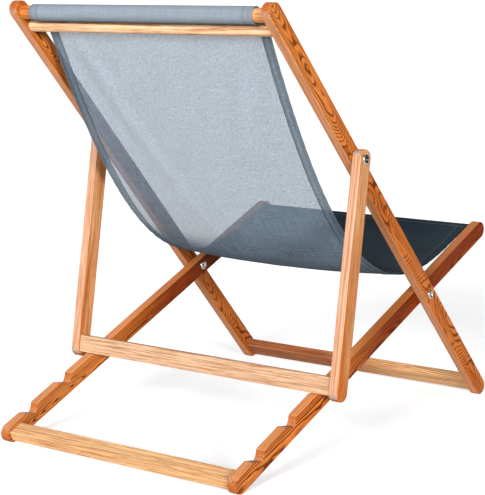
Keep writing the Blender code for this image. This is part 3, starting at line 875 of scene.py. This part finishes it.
def thread_material():
    """Sewing thread, darker than the cloth, with its twist."""
    material, tree, shader = new_material("slate thread")
    place = tree.add("ShaderNodeTexCoord").outputs["Object"]
    twist = tree.noise(place, 2600.0, 2.0)
    tree.feed(shader["Base Color"], tree.blend(twist, (0.060, 0.082, 0.105), (0.170, 0.205, 0.240)))
    tree.feed(shader["Roughness"], tree.spread(twist, 0.3, 0.7, 0.62, 0.48))
    tree.feed(shader["Normal"], tree.bump(twist, 0.0001, 0.6))
    return material


def make_sling():
    cloth = Sling()
    sheet = build_sling(cloth)
    stitches = build_stitches(cloth)
    sheet.data.materials.append(canvas())
    stitches.data.materials.append(thread_material())
    for item in (sheet, stitches):
        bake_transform(item)
    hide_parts("sling")


# ---------------------------------------------------------------- hardware

def lathe(name, centre, profile):
    """A piece turned round an axis along x; the profile is (x, radius), ends on the axis."""
    shape = bmesh.new()
    rings = []
    for x, radius in profile:
        if radius == 0.0:
            rings.append([shape.verts.new((x, centre[0], centre[1]))])
            continue
        ring = []
        for k in range(LATHE_STEPS):
            angle = 2 * math.pi * k / LATHE_STEPS
            y, z = offset_point(centre, angle, radius)
            ring.append(shape.verts.new((x, y, z)))
        rings.append(ring)
    for a, b in zip(rings, rings[1:]):
        for k in range(LATHE_STEPS):
            after = (k + 1) % LATHE_STEPS
            if len(a) == 1:
                shape.faces.new((a[0], b[k], b[after]))
            elif len(b) == 1:
                shape.faces.new((a[k], a[after], b[0]))
            else:
                shape.faces.new((a[k], a[after], b[after], b[k]))
    item = finish_piece(shape, name)
    item.data.set_sharp_from_angle(angle=SHARP_ANGLE)
    return item


# How much painted shade and dark reflection a piece has from its axis out to its rim: a dark
# ring round a bright stud, or a dark middle that pales outwards
OPEN_RECESS = ((0.0, 0.0), (0.19, 0.0), (0.22, 1.0), (0.70, 1.0), (0.76, 0.0), (1.0, 0.0))
CLOSED_RECESS = ((0.0, 0.75), (0.26, 0.75), (0.34, 0.15), (0.54, 0.15), (0.60, 0.0), (1.0, 0.0))
BRIGHT_PLATE = (0.80, 0.80, 0.79)
DULL_PLATE = (0.60, 0.60, 0.59)
PAINTED_DARK_REFLECTION = (0.020, 0.020, 0.022)
TURNING_PITCH = 0.00032


def steel(name, centre, recess):
    """Bright plating, with painted dark reflection and shade down in the recess, and fine turning marks."""
    material, tree, shader = new_material(name)
    place = tree.add("ShaderNodeTexCoord").outputs["Object"]
    from_axis = tree.split(tree.less(place, (0.0, centre[0], centre[1])))
    radius = tree.distance(from_axis[1], from_axis[2])
    grime = tree.noise(place, 420.0, 3.0, 0.6)
    turning = tree.math("SINE", tree.math("MULTIPLY", radius, 2 * math.pi / TURNING_PITCH))
    hollow = tree.ramp(tree.math("DIVIDE", radius, HEAD_RADIUS), recess)
    colour = tree.blend(tree.spread(grime, 0.35, 0.7), BRIGHT_PLATE, DULL_PLATE)
    # painted dark reflection and shade in the recess
    colour = tree.blend(tree.math("MULTIPLY", hollow, 0.94), colour, PAINTED_DARK_REFLECTION)
    tree.feed(shader["Base Color"], colour)
    shader["Metallic"].default_value = 1.0
    tree.feed(shader["Roughness"], tree.spread(grime, 0.3, 0.7, 0.14, 0.26))
    tree.feed(shader["Normal"], tree.bump(turning, 0.00001, 0.5))
    return material


def head_profile(face, out):
    """Rim, domed ring, round recess and the rounded stud in its middle. face is where the
    head starts along x, and out is the side that it faces."""
    crown = face + out * 0.0021
    floor = face + out * 0.0006
    stud = face + out * 0.0017
    r = HEAD_RADIUS
    rim = ((face, r), (face + out * 0.00078, r), (face + out * 0.0013, r - 0.0005))
    ring = ((crown - out * 0.0002, r - 0.0016), (crown, r - 0.0025), (crown - out * 0.0002, r - 0.0033))
    recess = ((floor + out * 0.0004, r - 0.0039), (floor, r - 0.0044), (floor, 0.0022))
    middle = ((stud - out * 0.0004, 0.0019), (stud, 0.0010), (stud + out * 0.0001, 0.0))
    return rim + ring + recess + middle


def bolt_profile(sign, inner, outer):
    """A plain shank from the joint's inner end, and the head outside the rail."""
    face = sign * (outer - HEAD_HEIGHT)
    shank = ((sign * inner, 0.0), (sign * inner, SHANK_RADIUS), (face, SHANK_RADIUS))
    return shank + head_profile(face, sign)


def nut_profile(sign, inner, outer):
    """A barrel with an open bore, and the same head on the chair's inner side."""
    face = sign * (inner + HEAD_HEIGHT)
    bottom = sign * (inner + BARREL_WALL)
    barrel = ((bottom, 0.0), (bottom, BARREL_BORE), (sign * outer, BARREL_BORE),
              (sign * outer, BARREL_RADIUS), (face, BARREL_RADIUS))
    return barrel + head_profile(face, -sign)


def make_pivot(kind, centre, recess, side, sign):
    """The finished bolt and nut of one pivot, and the washer's plating."""
    for part, profile in (("bolt", bolt_profile), ("nut", nut_profile)):
        low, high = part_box(kind + "_" + part + "_" + side)
        outer = max(abs(low[0]), abs(high[0]))
        inner = min(abs(low[0]), abs(high[0]))
        item = lathe(kind + "_" + part + "_finished_" + side, centre, profile(sign, inner, outer))
        item.data.materials.append(steel("plated " + kind + " " + part + " " + side, centre, recess))
        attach(item, "back_frame")
        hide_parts(kind + "_" + part + "_" + side)
    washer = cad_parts[kind + "_washer_" + side]
    washer.data.materials.clear()
    washer.data.materials.append(steel("plated " + kind + " washer " + side, centre, CLOSED_RECESS))


def make_pivots():
    for side, sign in (("left", 1), ("right", -1)):
        make_pivot("scissor", SCISSOR, CLOSED_RECESS, side, sign)
        make_pivot("prop", PROP_PIVOT, OPEN_RECESS, side, sign)


# ---------------------------------------------------------------- stage

def make_camera():
    data = bpy.data.cameras.new("camera")
    data.lens = LENS
    data.sensor_width = 36.0
    data.sensor_fit = "AUTO"
    camera = bpy.data.objects.new("camera", data)
    bpy.context.scene.collection.objects.link(camera)
    level = math.cos(VIEW_ELEVATION)
    back = Vector((level * math.sin(VIEW_AZIMUTH), -level * math.cos(VIEW_AZIMUTH),
                   math.sin(VIEW_ELEVATION)))
    right = Vector((math.cos(VIEW_AZIMUTH), math.sin(VIEW_AZIMUTH), 0.0))
    up = back.cross(right)
    turn = Matrix((right, up, back)).transposed() @ Matrix.Rotation(VIEW_ROLL, 3, "Z")
    camera.matrix_world = Matrix.Translation(TARGET + back * VIEW_DISTANCE) @ turn.to_4x4()
    bpy.context.scene.camera = camera


def make_floor():
    shape = bmesh.new()
    rim = []
    for k in range(FLOOR_STEPS):
        x, y = offset_point((0.0, 0.0), 2 * math.pi * k / FLOOR_STEPS, FLOOR_RADIUS)
        rim.append(shape.verts.new((x, y, -FLOOR_DROP)))
    shape.faces.new(rim)
    floor = finish_piece(shape, "floor")
    material, tree, shader = new_material("pale floor")
    place = tree.add("ShaderNodeTexCoord").outputs["Object"]
    tint = tree.noise(place, 3.0, 2.0)
    tree.feed(shader["Base Color"], tree.blend(tint, (0.61, 0.61, 0.614), (0.63, 0.63, 0.634)))
    shader["Roughness"].default_value = 0.9
    shader["Specular IOR Level"].default_value = 0.1
    shader["Emission Color"].default_value = (1.0, 1.0, 1.0, 1.0)
    seen = tree.add("ShaderNodeLightPath").outputs["Is Camera Ray"]
    tree.feed(shader["Emission Strength"], tree.math("MULTIPLY", seen, FLOOR_LIFT))
    floor.data.materials.append(material)


def sun(name, toward, strength, spread, colour):
    """A distant soft light; toward points from the chair to the light."""
    data = bpy.data.lights.new(name, "SUN")
    data.energy = strength
    data.angle = math.radians(spread)
    data.color = colour
    light = bpy.data.objects.new(name, data)
    bpy.context.scene.collection.objects.link(light)
    light.rotation_euler = Vector(toward).to_track_quat("Z", "Y").to_euler()


def make_backdrop():
    """A world that looks nearly white but gives only a little light."""
    world = bpy.data.worlds.new("studio")
    bpy.context.scene.world = world
    world.use_nodes = True
    background = world.node_tree.nodes["Background"]
    background.inputs["Color"].default_value = (0.95, 0.98, 1.0, 1.0)
    rays = world.node_tree.nodes.new("ShaderNodeLightPath")
    level = world.node_tree.nodes.new("ShaderNodeMath")
    level.operation = "MULTIPLY_ADD"
    level.inputs[1].default_value = BACKDROP - AMBIENT
    level.inputs[2].default_value = AMBIENT
    world.node_tree.links.new(rays.outputs["Is Camera Ray"], level.inputs[0])
    world.node_tree.links.new(level.outputs[0], background.inputs["Strength"])


make_camera()
dress_rails()
dress_bars()
make_sling()
make_pivots()
make_floor()
make_backdrop()
for settings in SUNS:
    sun(*settings)
bpy.context.scene.view_settings.view_transform = "Standard"
